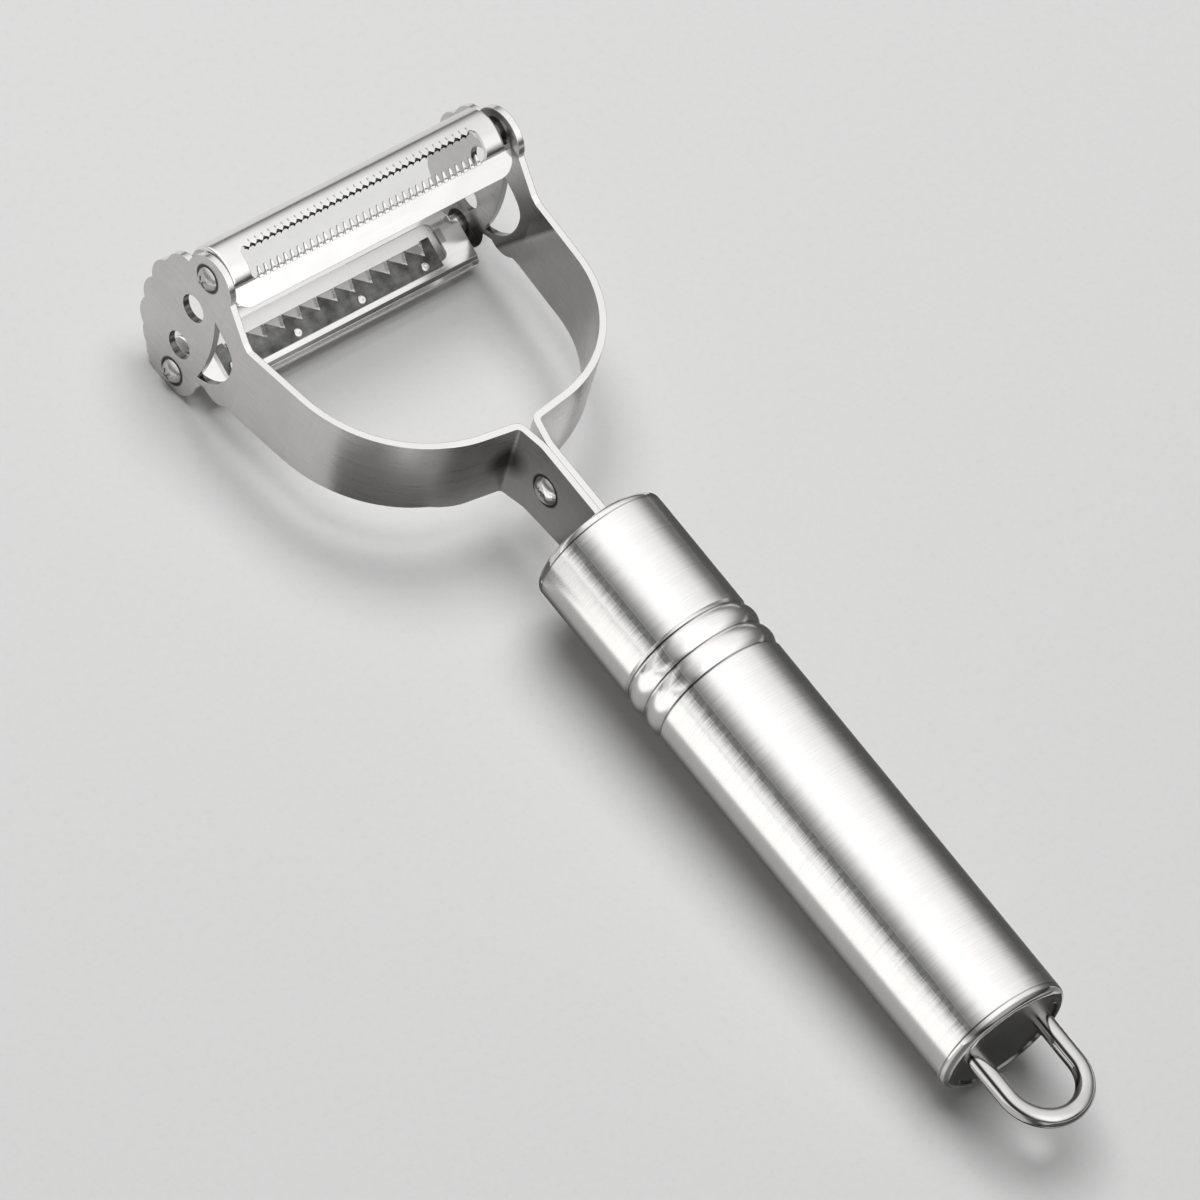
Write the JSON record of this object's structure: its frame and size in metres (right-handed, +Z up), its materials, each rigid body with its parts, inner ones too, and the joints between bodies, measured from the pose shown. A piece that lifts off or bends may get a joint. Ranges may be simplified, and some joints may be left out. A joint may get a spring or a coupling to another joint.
{
  "type": "vegetable peeler",
  "caption": "Steel vegetable peeler: tubular handle with hanging loop, bent two-part bow, scalloped ears, swinging slotted peeling blade and saw-toothed julienne blade",
  "frame": {"origin": "bottom centre of the bounding box, on the surface the peeler lies on", "axes": "+Y along the handle toward the blades, +X to the right seen from the handle with the blades up, +Z up"},
  "size_m": [0.0538, 0.1688, 0.0276],
  "materials": {
    "handle_steel": "fine brushing around the tube",
    "polished_steel": "polished",
    "strip_steel": "satin with polished edges",
    "blade_steel": "bright satin",
    "comb_steel": "dark satin"
  },
  "bodies": {
    "frame": {"handle_tube": "handle_steel", "neck_cap": "polished_steel", "tang_plug": "polished_steel", "tang_pin": "polished_steel", "tail_cap": "polished_steel", "hanging_loop": "polished_steel", "left_frame": "strip_steel", "right_frame": "strip_steel", "tang_rivet": "polished_steel", "peeler_pivot_left": "polished_steel", "peeler_pivot_right": "polished_steel", "julienne_pivot_left": "polished_steel", "julienne_pivot_right": "polished_steel"},
    "peeler": {"peeler_blade": "blade_steel"},
    "julienne": {"julienne_blade": "blade_steel", "julienne_comb": "comb_steel", "comb_rivet_1": "polished_steel", "comb_rivet_2": "polished_steel", "comb_rivet_3": "polished_steel", "comb_rivet_4": "polished_steel"}
  },
  "joints": [
    {"name": "peeler_swing", "type": "hinge", "parent": "frame", "child": "peeler", "pos_m": [0, 0.07488, 0.02393], "axis": [1, 0, 0], "range_deg": [-25, 25]},
    {"name": "julienne_swing", "type": "hinge", "parent": "frame", "child": "julienne", "pos_m": [0, 0.0752, 0.00291], "axis": [1, 0, 0], "range_deg": [-25, 25]}
  ]
}
